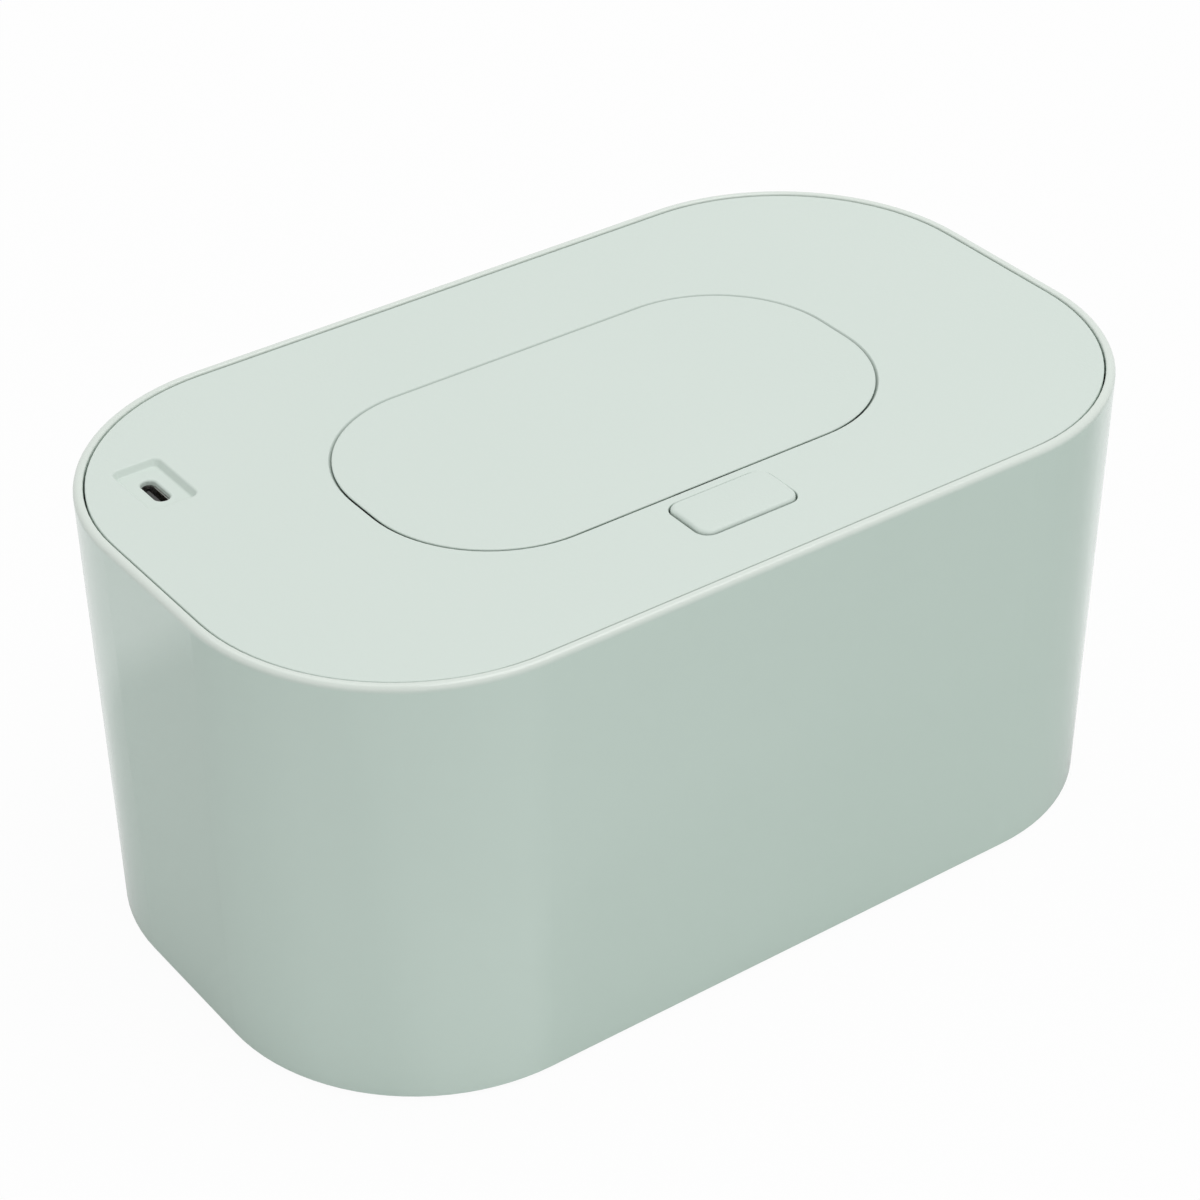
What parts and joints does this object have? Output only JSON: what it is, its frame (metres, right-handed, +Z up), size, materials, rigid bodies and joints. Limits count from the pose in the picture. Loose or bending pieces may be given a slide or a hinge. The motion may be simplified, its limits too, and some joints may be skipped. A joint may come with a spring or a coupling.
{
  "type": "baby wipe warmer",
  "caption": "Free-standing warmer box for wet wipes with a lift-off cover, a hinged dispensing lid behind a push button, and a charging socket on top.",
  "frame": {"origin": "middle of the footprint, on the table under the feet", "axes": "+X along the length with the charging socket at the -X end, -Y the side with the push button, +Z up"},
  "size_m": [0.211, 0.126, 0.1002],
  "materials": {
    "shell_mint": "polished",
    "cover_mint": "satin",
    "inner_white": "semi-gloss",
    "mechanism_acetal": "satin",
    "silicone_grey": "matt",
    "silicone_white": "matt",
    "foam_white": "matt",
    "screw_steel": "zinc plated",
    "pin_steel": "ground",
    "spring_steel": "drawn wire",
    "heater_aluminium": "brushed",
    "film_orange": "satin",
    "fuse_body": "drawn",
    "sensor_glass": "clear bead",
    "board_green": "solder mask",
    "chip_black": "satin",
    "socket_steel": "nickel plated",
    "tongue_black": "satin",
    "lead_red": "insulation"
  },
  "bodies": {
    "base": {"outer_shell": "shell_mint", "inner_tub": "inner_white", "base_plate": "shell_mint", "base_feet": "silicone_grey", "base_screws": "screw_steel", "insulation_sleeve": "foam_white", "insulation_pad": "foam_white"},
    "cover": {"top_cover": "cover_mint", "bottom_cover": "inner_white", "cover_gasket": "silicone_white", "cover_screws": "screw_steel", "heater_plate": "heater_aluminium", "heating_film": "film_orange", "thermal_fuse": "fuse_body", "temperature_sensor": "sensor_glass", "control_board": "board_green", "board_chips": "chip_black", "usb_socket": "socket_steel", "usb_tongue": "tongue_black", "dispensing_tray": "inner_white", "wipe_gate": "silicone_white", "latch_carrier": "mechanism_acetal", "inner_screws": "screw_steel", "hinge_pins": "pin_steel", "torsion_spring": "spring_steel", "heater_leads": "lead_red"},
    "button": {"push_button": "cover_mint"},
    "latch": {"latch_slide": "mechanism_acetal"},
    "lid": {"lid": "cover_mint", "lid_seal": "silicone_white"}
  },
  "joints": [
    {"name": "cover_lift", "type": "slide", "parent": "base", "child": "cover", "axis": [0, 0, 1], "range_m": [0, 0.12]},
    {"name": "lid_hinge", "type": "hinge", "parent": "cover", "child": "lid", "pos_m": [-0.00075, 0.03463, 0.0964], "axis": [-1, 0, 0], "range_deg": [0, 100], "deforming": ["torsion_spring", "latch_slide"]},
    {"name": "button_press", "type": "slide", "parent": "cover", "child": "button", "axis": [0, 0, -1], "range_m": [0, 0.0018], "stiffness_N_per_m": 800},
    {"name": "latch_retract", "type": "slide", "parent": "cover", "child": "latch", "axis": [0, -1, 0], "range_m": [0, 0.0018], "deforming": ["latch_slide"]}
  ],
  "couplings": [
    {"joint": "latch_retract", "follows": "button_press", "ratio": 1}
  ]
}
